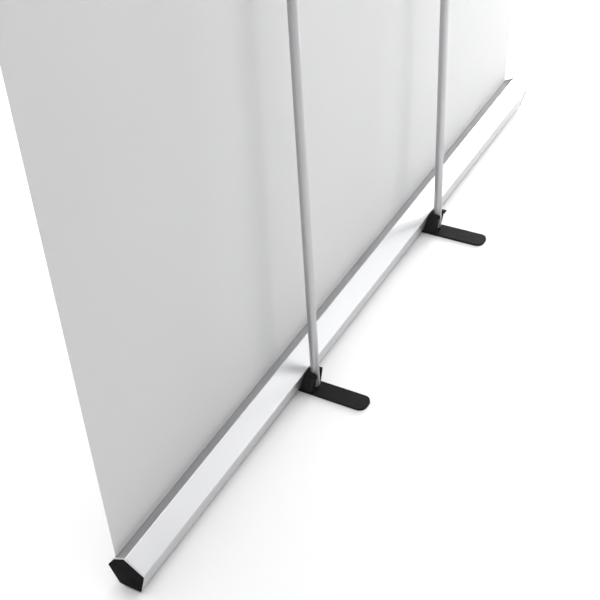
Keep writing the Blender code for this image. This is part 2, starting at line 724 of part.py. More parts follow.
def foot_screw(side_name):
    """A flat-head screw from under the foot, up into the nut plate inside the case."""
    top = CASE_BASE + CASE_WALL + GAP + FOOT_NUT_T
    low = PAD_PROUD + GAP
    head = low + FOOT_SCREW_HEAD_H
    profile = [
        (0, top),
        (FOOT_SCREW_R, top),
        (FOOT_SCREW_R, head),
        (FOOT_SCREW_HEAD_R, head),
        (FOOT_SCREW_HEAD_R, low),
        (0, low),
    ]
    place = Matrix.Translation((SIDES[side_name] * POLE_X, FOOT_SCREW_Y, 0))
    return turned(f"foot_screw_{side_name}", profile, place, STEEL, sides=SMALL_ROUND)


def nut_plate(side_name):
    x = SIDES[side_name] * POLE_X
    low = CASE_BASE + CASE_WALL + GAP
    top = low + FOOT_NUT_T
    half = FOOT_NUT_W / 2
    corners = [
        (x - half, FOOT_SCREW_Y - half, FOOT_NUT_CORNER_R),
        (x + half, FOOT_SCREW_Y - half, FOOT_NUT_CORNER_R),
        (x + half, FOOT_SCREW_Y + half, FOOT_NUT_CORNER_R),
        (x - half, FOOT_SCREW_Y + half, FOOT_NUT_CORNER_R),
    ]
    nut = slab(f"foot_nut_plate_{side_name}", fillet(corners), low, top, STEEL)
    place = Matrix.Translation((x, FOOT_SCREW_Y, 0))
    return drill(nut, FOOT_SCREW_R + RUN_GAP, low - OVERLAP, top + OVERLAP, place)


def foot_pads(side_name):
    for label, y in zip(("front", "rear"), pad_places()):
        place = Matrix.Translation((SIDES[side_name] * POLE_X, y, 0))
        top = PAD_PROUD + PAD_DEPTH - GAP
        disc(f"foot_pad_{side_name}_{label}", PAD_R, 0, top, place, RUBBER, sides=SMALL_ROUND)


# Poles ------------------------------------------------------------------------------------------

def pole(side_name):
    """A lower tube in the foot, an upper tube that slides in it, and what closes and guides them."""
    place = along_pole(SIDES[side_name] * POLE_X)
    bore = POLE_R - POLE_WALL
    ring(f"pole_lower_{side_name}", POLE_R, bore, LOWER_BOTTOM, LOWER_TOP, place, ALUMINIUM)
    foot_plug(side_name, place, bore - GAP)
    bottom = LOWER_TOP - TELESCOPE_OVERLAP
    inside = UPPER_R - UPPER_WALL
    ring(f"pole_upper_{side_name}", UPPER_R, inside, bottom, UPPER_TOP, place, ALUMINIUM)
    glide(side_name, place, bottom - GAP, inside - GAP, bore - RUN_GAP)
    lock_sleeve(side_name, place)
    lock_nut(side_name, place)


def foot_plug(side_name, place, spigot):
    low = FOOT_SEAT_H + GAP
    shoulder = low + POLE_PLUG_T
    top = shoulder + POLE_PLUG_SPIGOT
    profile = [
        (0, top),
        (spigot - BEVEL, top),
        (spigot, top - BEVEL),
        (spigot, shoulder),
        (POLE_R, shoulder),
        (POLE_R, low + BEVEL),
        (POLE_R - BEVEL, low),
        (0, low),
    ]
    return turned(f"pole_foot_plug_{side_name}", profile, place, BLACK)


def glide(side_name, place, shoulder, spigot, head):
    """The plug in the upper tube's end, whose head guides it in the lower tube."""
    profile = [
        (0, shoulder + GLIDE_SPIGOT),
        (spigot, shoulder + GLIDE_SPIGOT),
        (spigot, shoulder),
        (head, shoulder),
        (head, shoulder - GLIDE_HEAD),
        (0, shoulder - GLIDE_HEAD),
    ]
    return turned(f"pole_glide_{side_name}", profile, place, GREY)


def lock_sleeve(side_name, place):
    """The collar on the lower tube's rim, with a nose that the nut squeezes."""
    low = LOWER_TOP - SLEEVE_BELOW
    rim = LOWER_TOP + GAP
    profile = [
        (SLEEVE_NOSE_R, NOSE_TOP),
        (SLEEVE_NOSE_R, SLEEVE_TOP),
        (SLEEVE_R, SLEEVE_TOP),
        (SLEEVE_R, low + BEVEL),
        (SLEEVE_R - BEVEL, low),
        (POLE_R + GAP, low),
        (POLE_R + GAP, rim),
        (UPPER_R + RUN_GAP, rim),
        (UPPER_R + RUN_GAP, NOSE_TOP),
    ]
    return turned(f"lock_sleeve_{side_name}", profile, place, BLACK, closed=True)


def lock_nut(side_name, place):
    """The fluted ring that is turned to grip the upper tube."""
    count = NUT_FLUTES * 4
    outer = []
    for i in range(count):
        angle = 2 * math.pi * i / count
        radius = NUT_R - NUT_FLUTE * (1 - math.cos(NUT_FLUTES * angle)) / 2
        outer.append((radius * math.cos(angle), radius * math.sin(angle)))
    low = SLEEVE_TOP + GAP
    nut = slab(f"lock_nut_{side_name}", outer, low, low + NUT_L, BLACK)
    upright = Matrix.Identity(4)
    drill(nut, UPPER_R + RUN_GAP, low - OVERLAP, low + NUT_L + OVERLAP, upright)
    drill(nut, SLEEVE_NOSE_R + RUN_GAP, low - OVERLAP, NOSE_TOP + GAP, upright)
    nut.data.transform(nut.matrix_world)
    nut.matrix_world = place
    return round_shading(nut)


# Top rail ---------------------------------------------------------------------------------------

def rail_prism(name, corners, x_from, x_to, finish, group=PARTS, steps=4):
    outline = [in_rail(d, h) for d, h in fillet(corners, steps)]
    return prism(name, outline, x_from, x_to, finish, group)


def bead_arc(radius, start, stop, steps):
    """Points on an arc about the hinge bead, angles measured from straight back."""
    points = []
    for i in range(steps + 1):
        angle = math.radians(start + (stop - start) * i / steps)
        points.append((BEAD_D + radius * math.cos(angle), BEAD_H + radius * math.sin(angle), 0))
    return points


def rail_back():
    """Web, hook groove behind it and hinge bead in front, one extrusion."""
    neck = NECK_T / 2
    reach = math.degrees(math.asin(neck / BEAD_R))
    lip_foot = RAIL_CEILING - RAIL_LIP_L
    corners = [
        (WEB_D, 0, RAIL_EDGE_R),
        (WEB_D + RAIL_WEB_T, 0, RAIL_EDGE_R),
        (WEB_D + RAIL_WEB_T, RAIL_CEILING, 0),
        (LIP_D, RAIL_CEILING, 0),
        (LIP_D, lip_foot, RAIL_EDGE_R),
        (LIP_D + RAIL_LIP_T, lip_foot, RAIL_EDGE_R),
        (LIP_D + RAIL_LIP_T, RAIL_H, RAIL_TOP_R),
        (WEB_D, RAIL_H, RAIL_TOP_R),
        (WEB_D, BEAD_H + neck, 0),
        *bead_arc(BEAD_R, reach, 360 - reach, 14),
        (WEB_D, BEAD_H - neck, 0),
    ]
    half = BANNER_WIDTH / 2
    return round_shading(rail_prism("top_rail", corners, -half, half, ALUMINIUM, steps=3))


def rail_clamp():
    """The front strip that snaps down on the banner's top edge, hooked over the bead."""
    inner = BEAD_R + RUN_GAP
    front = BEAD_D - BEAD_OUTER
    jaw_d = -SHEET_T / 2 - GAP
    corners = [
        *bead_arc(BEAD_OUTER, CLAMP_EAR_FROM, 180, 6),
        (front, 0, RAIL_TOP_R),
        (jaw_d, 0, RAIL_EDGE_R),
        (jaw_d, CLAMP_JAW_H, RAIL_EDGE_R),
        (front + CLAMP_WALL, CLAMP_JAW_H + CLAMP_JAW_SLOPE, RAIL_EDGE_R),
        (front + CLAMP_WALL, BEAD_H - BEAD_OUTER, 0),
        *bead_arc(BEAD_OUTER, CLAMP_NECK, CLAMP_EAR_TO, 4),
        *bead_arc(inner, CLAMP_EAR_TO, CLAMP_EAR_FROM, 12),
    ]
    half = BANNER_WIDTH / 2 - GAP
    clamp = round_shading(rail_prism("top_rail_clamp", corners, -half, half, ALUMINIUM, steps=3))
    set_origin(clamp, Vector((0, *in_rail(BEAD_D, BEAD_H))))
    return clamp


def rail_cap(side_name):
    """A moulded end cap on the rail, with a peg in the hook groove."""
    side = SIDES[side_name]
    web_back = WEB_D + RAIL_WEB_T
    lip_foot = RAIL_CEILING - RAIL_LIP_L
    front = BEAD_D - BEAD_OUTER - RAIL_CAP_PROUD
    back = LIP_D + RAIL_LIP_T + RAIL_CAP_PROUD
    corners = [
        (front, -RAIL_CAP_PROUD, RAIL_CAP_R),
        (web_back + RAIL_CAP_PROUD, -RAIL_CAP_PROUD, RAIL_CAP_R),
        (web_back + RAIL_CAP_PROUD, lip_foot - RAIL_CAP_STEP, RAIL_CAP_R),
        (back, lip_foot - RAIL_CAP_PROUD, RAIL_CAP_R),
        (back, RAIL_H + RAIL_CAP_PROUD, RAIL_CAP_R),
        (front, RAIL_H + RAIL_CAP_PROUD, RAIL_CAP_FRONT_R),
    ]
    inner = side * (BANNER_WIDTH / 2 + GAP)
    cap = rail_prism(f"top_rail_cap_{side_name}", corners, inner, inner + side * RAIL_CAP_T, BLACK)
    peg_corners = [
        (web_back + GAP, lip_foot + GAP, RAIL_EDGE_R),
        (LIP_D - GAP, lip_foot + GAP, RAIL_EDGE_R),
        (LIP_D - GAP, RAIL_CEILING - GAP, RAIL_EDGE_R),
        (web_back + GAP, RAIL_CEILING - GAP, RAIL_EDGE_R),
    ]
    peg_x = (inner - side * RAIL_CAP_PEG, inner + side * RAIL_CAP_T / 2)
    boolean(cap, rail_prism("peg", peg_corners, *peg_x, None, CUTTERS), "UNION")
    return round_shading(cap)


def pole_hook(side_name):
    """A cap on the upper tube, with an arm whose nose stands up in the rail's groove."""
    x = SIDES[side_name] * POLE_X
    place = along_pole(x)
    low = HOOK_STATION - HOOK_CAP_BELOW
    high = HOOK_STATION + HOOK_CAP_ABOVE
    profile = [
        (0, high),
        (HOOK_CAP_R - BEVEL, high),
        (HOOK_CAP_R, high - BEVEL),
        (HOOK_CAP_R, low + BEVEL),
        (HOOK_CAP_R - BEVEL, low),
        (0, low),
    ]
    hook = turned(f"pole_hook_{side_name}", profile, place, BLACK)
    nose_front = WEB_D + RAIL_WEB_T + HOOK_PLAY
    nose_back = LIP_D - HOOK_PLAY
    arm_low = HOOK_ARM_TOP - HOOK_ARM_T
    nose_top = RAIL_CEILING - GAP
    corners = [
        (nose_front, arm_low, HOOK_ARM_R),
        (POLE_BEHIND_SHEET, arm_low, 0),
        (POLE_BEHIND_SHEET, HOOK_ARM_TOP, 0),
        (nose_back, HOOK_ARM_TOP, HOOK_ARM_R),
        (nose_back, nose_top, HOOK_ARM_R),
        (nose_front, nose_top, HOOK_ARM_R),
    ]
    arm = rail_prism("arm", corners, x - HOOK_W / 2, x + HOOK_W / 2, None, CUTTERS)
    boolean(hook, arm, "UNION")
    drill(hook, UPPER_R + RUN_GAP, low - OVERLAP, UPPER_TOP + GAP, place)
    return round_shading(hook)


def centre_over_origin():
    """Parents every piece to an empty that brings the middle of the stand over the origin."""
    stand = bpy.data.objects.new("roll_up_banner_stand", None)
    bpy.context.view_layer.update()
    ys = [(obj.matrix_world @ v.co).y for obj in PARTS.objects for v in obj.data.vertices]
    for obj in list(PARTS.objects):
        obj.parent = stand
    PARTS.objects.link(stand)
    stand.location.y = -round((min(ys) + max(ys)) / 2, 3)


def build():
    case_extrusion()
    for side_name in SIDES:
        end_cap(side_name)
        for index, y in enumerate(CAP_SCREW_Y, 1):
            cap_screw(side_name, index, y)
        foot(side_name)
        foot_screw(side_name)
        nut_plate(side_name)
        foot_pads(side_name)
        pole(side_name)
        pole_hook(side_name)
        rail_cap(side_name)
    roller()
    axle("idle_axle", 1, IDLE_AXLE_REACH)
    axle("spring_axle", -1, SPRING_AXLE_REACH)
    spring_anchor()
    torsion_spring()
    banner()
    rail_back()
    rail_clamp()
    centre_over_origin()
    bpy.data.collections.remove(CUTTERS)


build()
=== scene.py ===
# %% [markdown]
# # A wide roll-up banner stand
# The stand is a long aluminium case with a sprung roller inside. Two feet under the case reach
# backwards, and each holds a telescopic pole. The poles carry a clamping rail, and the rail draws
# the blank sheet up out of the slit in the case.
#
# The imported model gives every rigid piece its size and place. This lesson puts a smooth, finished
# surface on each piece, makes the sheet, mixes the finishes, and lights the whole in a white
# studio.

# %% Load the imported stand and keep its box
import json
import math

import bmesh
import bpy
from mathutils import Matrix, Vector


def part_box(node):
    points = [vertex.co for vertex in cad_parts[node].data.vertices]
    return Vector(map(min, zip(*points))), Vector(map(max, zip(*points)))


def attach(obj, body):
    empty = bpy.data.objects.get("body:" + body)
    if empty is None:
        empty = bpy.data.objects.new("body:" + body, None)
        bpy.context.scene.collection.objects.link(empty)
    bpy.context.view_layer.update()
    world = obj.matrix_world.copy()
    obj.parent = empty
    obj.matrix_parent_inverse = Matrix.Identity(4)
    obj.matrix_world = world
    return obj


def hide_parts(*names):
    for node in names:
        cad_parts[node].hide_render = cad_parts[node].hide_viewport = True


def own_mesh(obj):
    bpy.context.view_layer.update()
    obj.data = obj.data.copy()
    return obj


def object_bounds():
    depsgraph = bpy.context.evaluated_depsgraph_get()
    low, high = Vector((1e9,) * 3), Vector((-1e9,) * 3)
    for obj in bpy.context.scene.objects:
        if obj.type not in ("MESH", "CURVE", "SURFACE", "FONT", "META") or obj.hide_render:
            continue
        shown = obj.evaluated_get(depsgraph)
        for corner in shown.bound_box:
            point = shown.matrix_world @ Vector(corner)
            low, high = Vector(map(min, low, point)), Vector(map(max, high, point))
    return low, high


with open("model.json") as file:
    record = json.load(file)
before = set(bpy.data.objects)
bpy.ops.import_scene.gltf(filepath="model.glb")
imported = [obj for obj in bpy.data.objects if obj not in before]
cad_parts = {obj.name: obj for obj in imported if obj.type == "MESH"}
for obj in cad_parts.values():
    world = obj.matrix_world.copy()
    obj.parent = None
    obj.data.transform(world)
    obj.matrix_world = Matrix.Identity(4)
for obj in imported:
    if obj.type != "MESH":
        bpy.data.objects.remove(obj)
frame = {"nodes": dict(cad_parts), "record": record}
cad_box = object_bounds()
size = cad_box[1] - cad_box[0]
print(f"stand: {size.x:.3f} m wide, {size.y:.3f} m deep, {size.z:.3f} m high")
print(len(frame["nodes"]), "packed pieces")

# %% [markdown]
# ## Leaning lines
# Two directions run through the whole stand: the sheet leans back by about 5 degrees from the slit
# to the rail, and the poles by 3.8 degrees. The sheet's line is measured from the box of its packed
# piece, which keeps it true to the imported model. The pole's lean is the angle it was designed with,
# because the box of a leaning tube mixes that angle with the tube's own thickness.

# %% Measure the sheet and the poles
SHEET_T = 0.0004  # the film with its print
POLE_LEAN = math.radians(3.8)
SIDES = ("left", "right")


def lean_of_strip(node, thickness):
    """The lean of a thin upright strip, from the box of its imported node."""
    low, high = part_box(node)
    depth, height = high.y - low.y, high.z - low.z
    lean = math.atan2(depth, height)
    for _ in range(3):  # each round takes the thickness off with a better lean
        lean = math.atan2(depth - thickness * math.cos(lean), height - thickness * math.sin(lean))
    return lean


sheet_low, sheet_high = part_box("banner_sheet")
SHEET_W = sheet_high.x - sheet_low.x
SHEET_LEAN = lean_of_strip("banner_sheet", SHEET_T)
SHEET_UP = Vector((0, math.sin(SHEET_LEAN), math.cos(SHEET_LEAN)))
SHEET_EDGE = Vector((0, sheet_low.y, sheet_low.z)) + SHEET_T / 2 * Vector(
    (0, math.cos(SHEET_LEAN), math.sin(SHEET_LEAN))
)
SHEET_L = (sheet_high.z - sheet_low.z - SHEET_T * math.sin(SHEET_LEAN)) / math.cos(SHEET_LEAN)
print(f"sheet {SHEET_W:.3f} x {SHEET_L:.3f} m, leaning {math.degrees(SHEET_LEAN):.2f} degrees")

# %% [markdown]
# ## Camera
# The stand is looked at from behind, from its right-hand end and from above, with the sheet running
# out of the frame. A long lens keeps the case's edges nearly parallel, and a small roll makes the
# case climb across the frame. The camera could be aimed by a constraint, but plain angles stay put.

# %% Place the camera
LENS, SENSOR = 70.97, 36.0  # mm
CAMERA_AT = (1.4997, 0.8484, 1.4822)  # m
CAMERA_TURN = (49.94, 6.22, 120.31)  # degrees

camera_data = bpy.data.cameras.new("studio_camera")
camera_data.lens = LENS
camera_data.sensor_width = SENSOR
camera = bpy.data.objects.new("studio_camera", camera_data)
camera.location = CAMERA_AT
camera.rotation_euler = [math.radians(angle) for angle in CAMERA_TURN]
bpy.context.scene.collection.objects.link(camera)
bpy.context.scene.camera = camera
print(f"camera {camera.location.length:.2f} m from the origin, lens {camera_data.lens} mm")

# %% [markdown]
# ## Studio
# A white product studio is a pale floor under large soft panels. The panel beside the far end is
# the strongest on the sheet's back, so the sheet and the case grow brighter towards that end. The
# overhead and front panels whiten the floor, and only graze the upright sheet. The side where the
# camera stands stays unlit, and that is why the black end cap stays black. Small hard lamps would
# draw sharp shadows, so there are none.

# %% Floor
FLOOR_SIDE = 60.0


def only(*pieces):
    """Selects these objects and nothing else."""
    bpy.ops.object.select_all(action="DESELECT")
    for piece in pieces:
        piece.select_set(True)
    bpy.context.view_layer.objects.active = pieces[0] if pieces else None


only()
bpy.ops.mesh.primitive_plane_add(size=FLOOR_SIDE, location=(0, 0, 0))
floor = bpy.context.object
floor.name = "studio_floor"
bpy.context.scene.view_settings.view_transform = "Standard"
print(f"floor {FLOOR_SIDE} m wide")

# %% [markdown]
# ## Surround
# The light from the surround fades from the ceiling to the walls. What the camera sees behind the
# floor is a plain pale backdrop, which a Light Path node keeps apart from the light.

# %% Light the surround
CEILING_LIGHT, WALL_LIGHT, BACKDROP = 0.55, 0.10, 0.95
WALL_TOP = 0.2  # height, from 0 level to 1 overhead, at which the light starts to rise
WHITE = (1.0, 1.0, 1.0, 1.0)

world = bpy.data.worlds.new("white_studio")
bpy.context.scene.world = world
world.use_nodes = True
sky = world.node_tree
surround = sky.nodes["Background"]
towards = sky.nodes.new("ShaderNodeTexCoord")
height = sky.nodes.new("ShaderNodeSeparateXYZ")
sky.links.new(towards.outputs["Generated"], height.inputs["Vector"])
fade = sky.nodes.new("ShaderNodeMapRange")
fade.interpolation_type = "SMOOTHSTEP"
fade.inputs["From Min"].default_value = WALL_TOP
fade.inputs["To Min"].default_value = WALL_LIGHT
fade.inputs["To Max"].default_value = CEILING_LIGHT
sky.links.new(height.outputs["Z"], fade.inputs["Value"])
sky.links.new(fade.outputs["Result"], surround.inputs["Strength"])
surround.inputs["Color"].default_value = WHITE
backdrop = sky.nodes.new("ShaderNodeBackground")
backdrop.inputs["Color"].default_value = WHITE
backdrop.inputs["Strength"].default_value = BACKDROP
seen = sky.nodes.new("ShaderNodeLightPath")
choose = sky.nodes.new("ShaderNodeMixShader")
sky.links.new(seen.outputs["Is Camera Ray"], choose.inputs["Fac"])
sky.links.new(surround.outputs["Background"], choose.inputs[1])
sky.links.new(backdrop.outputs["Background"], choose.inputs[2])
sky.links.new(choose.outputs["Shader"], sky.nodes["World Output"].inputs["Surface"])
print(f"surround: ceiling {CEILING_LIGHT}, walls {WALL_LIGHT}")

# %% [markdown]
# ## Soft panels
# Each panel is a square area light, given by where it hangs, what it looks at, its side in metres
# and its power in watts. The camera doesn't see the panels, only what they light.

# %% Hang the soft panels
PANELS = {
    "overhead_panel": {"at": (0, 0.5, 3.2), "aim": (0, 0, 0), "size": 3.0, "power": 83},
    "front_panel": {"at": (0, -2.5, 2.5), "aim": (0, 0, 0.2), "size": 2.5, "power": 56},
    "far_panel": {"at": (-2.6, 0.3, 0.9), "aim": (0, 0, 0.6), "size": 1.2, "power": 66},
    "back_panel": {"at": (-1.5, 2.2, 1.2), "aim": (-0.5, 0, 0.6), "size": 1.6, "power": 21},
}


def soft_panel(name, at, aim, size, power):
    """A square soft light at a point, turned towards another and not seen itself."""
    data = bpy.data.lights.new(name, "AREA")
    data.shape = "SQUARE"
    data.size = size
    data.energy = power
    lamp = bpy.data.objects.new(name, data)
    lamp.visible_camera = False
    way = Vector(aim) - Vector(at)
    lamp.matrix_world = Matrix.Translation(at) @ way.to_track_quat("-Z", "Y").to_matrix().to_4x4()
    bpy.context.scene.collection.objects.link(lamp)
    print(f"{name}: {power} W from {way.length:.1f} m")


for name, facts in PANELS.items():
    soft_panel(name, **facts)

# %% [markdown]
# ## Working in edit mode
# Everything below is modelled as by hand: an operator acts on what is selected, so each step first
# drops the old selection and then picks faces or edges by where they are and which way they look
# or run.

# %% Helpers for edit mode
UPRIGHT = 0.9  # a unit vector with at least this share of height counts as upright


def edit(piece, kind="FACE"):
    """Edit mode on one piece, with nothing in it selected."""
    only(piece)
    bpy.ops.object.mode_set(mode="EDIT")
    bpy.ops.mesh.select_mode(type=kind)
    bpy.ops.mesh.select_all(action="DESELECT")


def leave():
    """Back to object mode."""
    bpy.ops.object.mode_set(mode="OBJECT")


def pick(piece, test, kind="FACE"):
    """Selects the faces whose middle and normal, or the edges whose middle and way, pass a test."""
    bpy.ops.mesh.select_all(action="DESELECT")
    mesh = bmesh.from_edit_mesh(piece.data)
    if kind == "FACE":
        found = [face for face in mesh.faces if test(face.calc_center_median(), face.normal)]
    else:
        found = []
        for edge in mesh.edges:
            start, end = (vert.co for vert in edge.verts)
            if test((start + end) / 2, (end - start).normalized()):
                found.append(edge)
    for element in found:
        element.select_set(True)
    mesh.select_flush_mode()
    bmesh.update_edit_mesh(piece.data)


print("helpers:", ", ".join(helper.__name__ for helper in (edit, leave, pick)))

# %% [markdown]
# ## Finishing a mesh
# A modifier is applied as soon as it is added, and a piece's place goes into its mesh, so a
# finished piece is a plain mesh whose object sits at the origin. Shading is smooth over rounded
# edges and crisp at corners.

# %% Helpers for finishing a mesh
SMOOTH_UP_TO = math.radians(40)
FLAT_WEIGHT = 80  # how strongly the large faces pull the normals beside them


def modify(piece, kind, **settings):
    """Adds one modifier and applies it."""
    only(piece)
    bpy.ops.object.modifier_add(type=kind)
    modifier = piece.modifiers[-1]
    for key, value in settings.items():
        setattr(modifier, key, value)
    bpy.ops.object.modifier_apply(modifier=modifier.name)


def settle(piece, place=None):
    """Puts the piece's place into its mesh, so that its object is at the origin, unturned."""
    if place is not None:
        piece.matrix_world = place @ piece.matrix_world
    only(piece)
    bpy.ops.object.transform_apply(location=True, rotation=True, scale=True)
    return piece


def smooth(piece):
    """Smooth shading that stays crisp at corners, with the large flats kept flat."""
    only(piece)
    bpy.ops.object.shade_smooth_by_angle(angle=SMOOTH_UP_TO)
    modify(piece, "WEIGHTED_NORMAL", keep_sharp=True, weight=FLAT_WEIGHT)
    return piece


print("helpers:", ", ".join(helper.__name__ for helper in (modify, settle, smooth)))

# %% [markdown]
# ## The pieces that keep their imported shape
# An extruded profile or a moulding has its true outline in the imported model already, but as loose
# triangles with knife edges. Real profiles leave the die with edges rounded by a few tenths of a
# millimetre, and mouldings with a little more, and that is what catches the light. A copy of the
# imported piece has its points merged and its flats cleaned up, and a bevel rounds what is sharp.

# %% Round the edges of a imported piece
MERGE = 0.000004  # points this close are one point
FLAT_ANGLE = math.radians(0.6)  # faces this level are one face
CORNER = math.radians(35)  # edges sharper than this are rounded
FACTS = {item["node"]: item for item in frame["record"]["subparts"]}
BODY_OF = {
    node: body
    for body, nodes in frame["record"]["behaviour"]["bodies"].items()
    for node in nodes
}
MADE = {}


def take_over(piece, node, finish):
    """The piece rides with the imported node's body, stands for it and wears its finish."""
    piece.data.materials.clear()
    piece.data.materials.append(finish)
    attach(piece, BODY_OF[node])
    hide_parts(node)
    MADE[piece.name] = len(piece.data.polygons)
    return piece


def rounded_copy(node, name, width, shape=None):
    """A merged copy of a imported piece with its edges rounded, after a shaping step if given."""
    piece = bpy.data.objects.new(name, frame["nodes"][node].data.copy())
    bpy.context.scene.collection.objects.link(piece)
    edit(piece, "VERT")
    bpy.ops.mesh.select_all(action="SELECT")
    bpy.ops.mesh.remove_doubles(threshold=MERGE)
    bpy.ops.mesh.dissolve_limited(angle_limit=FLAT_ANGLE)
    leave()
    if shape:
        shape(piece)
    modify(piece, "BEVEL", width=width, segments=2, limit_method="ANGLE", angle_limit=CORNER)
    return smooth(piece)


# %% [markdown]
# ## Shader helpers
# Each finish is a small graph. Writing it out node by node takes many lines, so one helper adds a
# node with its settings and inputs, where an input is either a value or another node's output.

# %% Build nodes in one line


def add(tree, kind, inputs=None, **settings):
    """A node with its settings and inputs; an input is a value or an output socket."""
    node = tree.nodes.new(kind)
    for key, value in settings.items():
        setattr(node, key, value)
    for key, value in (inputs or {}).items():
        if isinstance(value, bpy.types.NodeSocket):
            tree.links.new(value, node.inputs[key])
        else:
            node.inputs[key].default_value = value
    return node


def group(name, inputs, outputs):
    """An empty shader node group with named number and vector inputs, and its two end nodes."""
    tree = bpy.data.node_groups.new(name, "ShaderNodeTree")
    for label, kind, value in inputs:
        socket = tree.interface.new_socket(name=label, in_out="INPUT", socket_type=kind)
        if value is not None:
            socket.default_value = value
    for label, kind in outputs:
        tree.interface.new_socket(name=label, in_out="OUTPUT", socket_type=kind)
    return tree, tree.nodes.new("NodeGroupInput"), tree.nodes.new("NodeGroupOutput")


def use(tree, name, **inputs):
    """Places a node group in a material."""
    return add(tree, "ShaderNodeGroup", inputs, node_tree=bpy.data.node_groups[name])


VALUE, VECTOR = "NodeSocketFloat", "NodeSocketVector"
print("group sockets:", VALUE, "and", VECTOR)

# %% [markdown]
# ## Shared effects
# Three effects come back in several finishes, so each is one node group with its own numbers in
# each material.
#
# - **fine_grain** is the spark-eroded texture of a mould or the etched skin of anodised metal. It
#   gives a height for a bump.
# - **die_lines** are the faint streaks that a die or a drawing ring leaves along a profile. They
#   are noise, and the material stretches it several hundred times along the piece.
# - **handling** is what hands and transport leave: soft cloudy patches where the surface is a
#   little duller, with a few thin scuffs.

# %% The fine grain of a mould or of etched metal
tree, given, result = group(
    "fine_grain",
    [("Vector", VECTOR, None), ("Size", VALUE, 0.0005), ("Patch", VALUE, 0.02)],
    [("Height", VALUE), ("Patches", VALUE)],
)
scale = add(tree, "ShaderNodeMath", {0: 1.0, 1: given.outputs["Size"]}, operation="DIVIDE")
grain = add(
    tree,
    "ShaderNodeTexNoise",
    {"Vector": given.outputs["Vector"], "Scale": scale.outputs[0], "Detail": 3.0, "Roughness": 0.6},
)
wide = add(tree, "ShaderNodeMath", {0: 1.0, 1: given.outputs["Patch"]}, operation="DIVIDE")
patches = add(
    tree,
    "ShaderNodeTexNoise",
    {"Vector": given.outputs["Vector"], "Scale": wide.outputs[0], "Detail": 2.0, "Roughness": 0.5},
)
tree.links.new(grain.outputs["Fac"], result.inputs["Height"])
tree.links.new(patches.outputs["Fac"], result.inputs["Patches"])
print("fine_grain:", len(tree.nodes), "nodes")

# %% Lines along a profile
tree, given, result = group(
    "die_lines",
    [("Vector", VECTOR, None), ("Spacing", VALUE, 0.0006), ("Contrast", VALUE, 0.5)],
    [("Lines", VALUE)],
)
scale = add(tree, "ShaderNodeMath", {0: 1.0, 1: given.outputs["Spacing"]}, operation="DIVIDE")
streaks = add(
    tree,
    "ShaderNodeTexNoise",
    {
        "Vector": given.outputs["Vector"],
        "Scale": scale.outputs[0],
        "Detail": 5.0,
        "Roughness": 0.75,
    },
)
centred = add(
    tree, "ShaderNodeMath", {0: streaks.outputs["Fac"], 1: 0.5}, operation="SUBTRACT"
)
steep = add(
    tree,
    "ShaderNodeMath",
    {0: centred.outputs[0], 1: given.outputs["Contrast"], 2: 0.5},
    operation="MULTIPLY_ADD",
    use_clamp=True,
)
tree.links.new(steep.outputs[0], result.inputs["Lines"])
print("die_lines:", len(tree.nodes), "nodes")

# %% Traces of handling
SMUDGE_FROM, SMUDGE_FULL = 0.42, 0.68  # of the clouds
SCUFF_FROM, SCUFF_FULL = 0.68, 0.74  # of the threads
THREAD_TURN, THREAD_STRETCH = (0.7, 0.4, 0.9), (1.0, 0.06, 1.0)
THREADS_IN_CLOUD = 26.0

tree, given, result = group(
    "handling",
    [("Vector", VECTOR, None), ("Size", VALUE, 0.06), ("Scuffs", VALUE, 0.5)],
    [("Smudges", VALUE), ("Scuffs", VALUE)],
)
scale = add(tree, "ShaderNodeMath", {0: 1.0, 1: given.outputs["Size"]}, operation="DIVIDE")
clouds = add(
    tree,
    "ShaderNodeTexNoise",
    {
        "Vector": given.outputs["Vector"],
        "Scale": scale.outputs[0],
        "Detail": 4.0,
        "Roughness": 0.6,
        "Distortion": 0.6,
    },
)
smudges = add(
    tree,
    "ShaderNodeMapRange",
    {"Value": clouds.outputs["Fac"], "From Min": SMUDGE_FROM, "From Max": SMUDGE_FULL},
    interpolation_type="SMOOTHSTEP",
)
crossed = add(
    tree,
    "ShaderNodeMapping",
    {"Vector": given.outputs["Vector"], "Rotation": THREAD_TURN, "Scale": THREAD_STRETCH},
)
finer = add(
    tree, "ShaderNodeMath", {0: scale.outputs[0], 1: THREADS_IN_CLOUD}, operation="MULTIPLY"
)
threads = add(
    tree,
    "ShaderNodeTexNoise",
    {"Vector": crossed.outputs["Vector"], "Scale": finer.outputs[0], "Detail": 2.0},
)
thin = add(
    tree,
    "ShaderNodeMapRange",
    {"Value": threads.outputs["Fac"], "From Min": SCUFF_FROM, "From Max": SCUFF_FULL},
    interpolation_type="SMOOTHSTEP",
)
inside = add(
    tree, "ShaderNodeMath", {0: thin.outputs[0], 1: smudges.outputs[0]}, operation="MULTIPLY"
)
scuffs = add(
    tree,
    "ShaderNodeMath",
    {0: inside.outputs[0], 1: given.outputs["Scuffs"]},
    operation="MULTIPLY",
)
tree.links.new(smudges.outputs[0], result.inputs["Smudges"])
tree.links.new(scuffs.outputs[0], result.inputs["Scuffs"])
print("handling:", len(tree.nodes), "nodes")

# %% [markdown]
# ## A finish
# Every material below starts the same way: a Principled shader, and nodes that read the piece's
# own coordinates. Constants such as the index of refraction are set on the shader, and nodes give
# what changes over the surface: colour, roughness and the bump.

# %% Start a material


def start_finish(name, metallic=0.0, **constants):
    """A material with only a Principled shader, and the Object coordinates that its nodes read."""
    finish = bpy.data.materials.new(name)
    finish.use_nodes = True
    tree = finish.node_tree
    shader = tree.nodes["Principled BSDF"]
    shader.inputs["Metallic"].default_value = metallic
    for key, value in constants.items():
        shader.inputs[key.replace("_", " ")].default_value = value
    coordinates = tree.nodes.new("ShaderNodeTexCoord").outputs["Object"]
    return finish, tree, shader, coordinates


